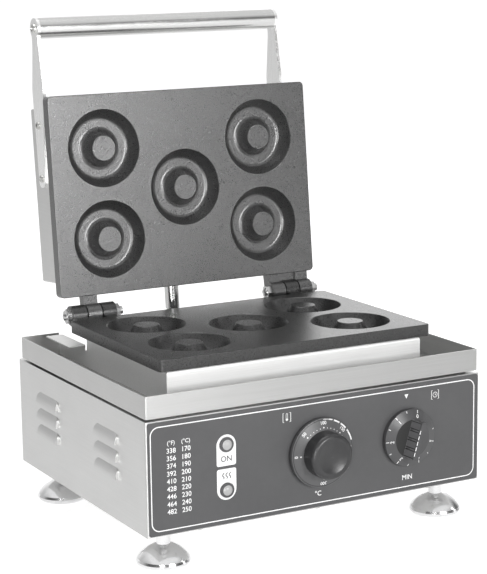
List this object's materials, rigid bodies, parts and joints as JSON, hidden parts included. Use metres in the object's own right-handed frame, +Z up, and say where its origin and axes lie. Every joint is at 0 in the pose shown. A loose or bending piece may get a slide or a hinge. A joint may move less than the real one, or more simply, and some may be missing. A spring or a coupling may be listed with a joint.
{
  "type": "mini donut maker",
  "caption": "Countertop ring-mould baker: stainless box base with dial, timer and drip tray, cast mould plate and a hinged twin plate under a covered lid with a bar handle.",
  "frame": {"origin": "middle of the overall box on the ground, with the lid open on its stop", "axes": "+X to the user's right, +Y to the rear, +Z up"},
  "size_m": [0.3668, 0.3752, 0.4853],
  "materials": {
    "stainless_sheet": "brushed stainless sheet",
    "casting": "sand-cast aluminium with a speckled black non-stick coat",
    "steel_fasteners": "zinc-plated steel",
    "foot_chrome": "polished plate",
    "handle_steel": "polished stainless tube",
    "conduit_steel": "wound steel strip",
    "heater_steel": "heat-darkened sheath",
    "panel_film": "satin printed panel",
    "knob_black": "fine-grained black",
    "lamp_bezel": "black moulding",
    "lamp_lens": "translucent grey",
    "control_body": "moulded insulation",
    "gland_black": "black nylon"
  },
  "bodies": {
    "base": {"housing_wrap": "stainless_sheet", "rear_panel": "stainless_sheet", "bottom_plate": "stainless_sheet", "drip_tray": "stainless_sheet", "plate_collar": "stainless_sheet", "lower_heater_clamp": "stainless_sheet", "lower_plate": "casting", "bottom_screws": "steel_fasteners", "rear_screws": "steel_fasteners", "foot_sockets": "steel_fasteners", "plate_screws": "steel_fasteners", "lower_clamp_screws": "steel_fasteners", "hinge_pin_left": "steel_fasteners", "hinge_nut_left": "steel_fasteners", "conduit_gland_nut": "steel_fasteners", "conduit_hose": "conduit_steel", "conduit_gland": "conduit_steel", "lower_heating_element": "heater_steel", "thermostat_bulb": "heater_steel", "control_panel": "panel_film", "power_lamp_bezel": "lamp_bezel", "heat_lamp_bezel": "lamp_bezel", "power_lamp_lens": "lamp_lens", "heat_lamp_lens": "lamp_lens", "thermostat_body": "control_body", "timer_body": "control_body", "terminal_block": "control_body", "cable_gland": "gland_black", "cable_gland_nut": "gland_black"},
    "lid": {"upper_plate": "casting", "upper_heating_element": "heater_steel", "upper_heater_clamp": "stainless_sheet", "upper_clamp_screws": "steel_fasteners", "upper_cover": "stainless_sheet", "cover_screws": "steel_fasteners", "handle_tube": "handle_steel", "handle_end_screws": "steel_fasteners", "arm_screws": "steel_fasteners", "arm_nuts": "steel_fasteners", "conduit_ferrule": "conduit_steel", "ferrule_nut": "steel_fasteners", "hinge_pin_right": "steel_fasteners", "hinge_nut_right": "steel_fasteners", "handle_arm_left": "stainless_sheet", "handle_arm_right": "stainless_sheet"},
    "temperature_dial": {"temperature_dial": "knob_black", "thermostat_shaft": "steel_fasteners"},
    "timer_knob": {"timer_knob": "knob_black", "timer_shaft": "steel_fasteners"},
    "foot_front_left": {"foot_front_left": "foot_chrome", "foot_stud_front_left": "foot_chrome"},
    "foot_front_right": {"foot_front_right": "foot_chrome", "foot_stud_front_right": "foot_chrome"},
    "foot_rear_left": {"foot_rear_left": "foot_chrome", "foot_stud_rear_left": "foot_chrome"},
    "foot_rear_right": {"foot_rear_right": "foot_chrome", "foot_stud_rear_right": "foot_chrome"}
  },
  "joints": [
    {"name": "lid_hinge", "type": "hinge", "parent": "base", "child": "lid", "pos_m": [0, 0.09285, 0.19125], "axis": [1, 0, 0], "range_deg": [0, 95.5], "deforming": ["conduit_hose"]},
    {"name": "dial_turn", "type": "hinge", "parent": "base", "child": "temperature_dial", "pos_m": [-0.001, -0.1629, 0.0925], "axis": [0, -1, 0], "range_deg": [-90, 180]},
    {"name": "timer_turn", "type": "hinge", "parent": "base", "child": "timer_knob", "pos_m": [0.0966, -0.1629, 0.0925], "axis": [0, -1, 0], "range_deg": [-258, 17]},
    {"name": "foot_front_left_turn", "type": "hinge", "parent": "base", "child": "foot_front_left", "pos_m": [-0.15, -0.13235, 0.028], "axis": [0, 0, 1], "range_deg": [-180, 180]},
    {"name": "foot_front_right_turn", "type": "hinge", "parent": "base", "child": "foot_front_right", "pos_m": [0.15, -0.13235, 0.028], "axis": [0, 0, 1], "range_deg": [-180, 180]},
    {"name": "foot_rear_left_turn", "type": "hinge", "parent": "base", "child": "foot_rear_left", "pos_m": [-0.15, 0.10065, 0.028], "axis": [0, 0, 1], "range_deg": [-180, 180]},
    {"name": "foot_rear_right_turn", "type": "hinge", "parent": "base", "child": "foot_rear_right", "pos_m": [0.15, 0.10065, 0.028], "axis": [0, 0, 1], "range_deg": [-180, 180]}
  ]
}
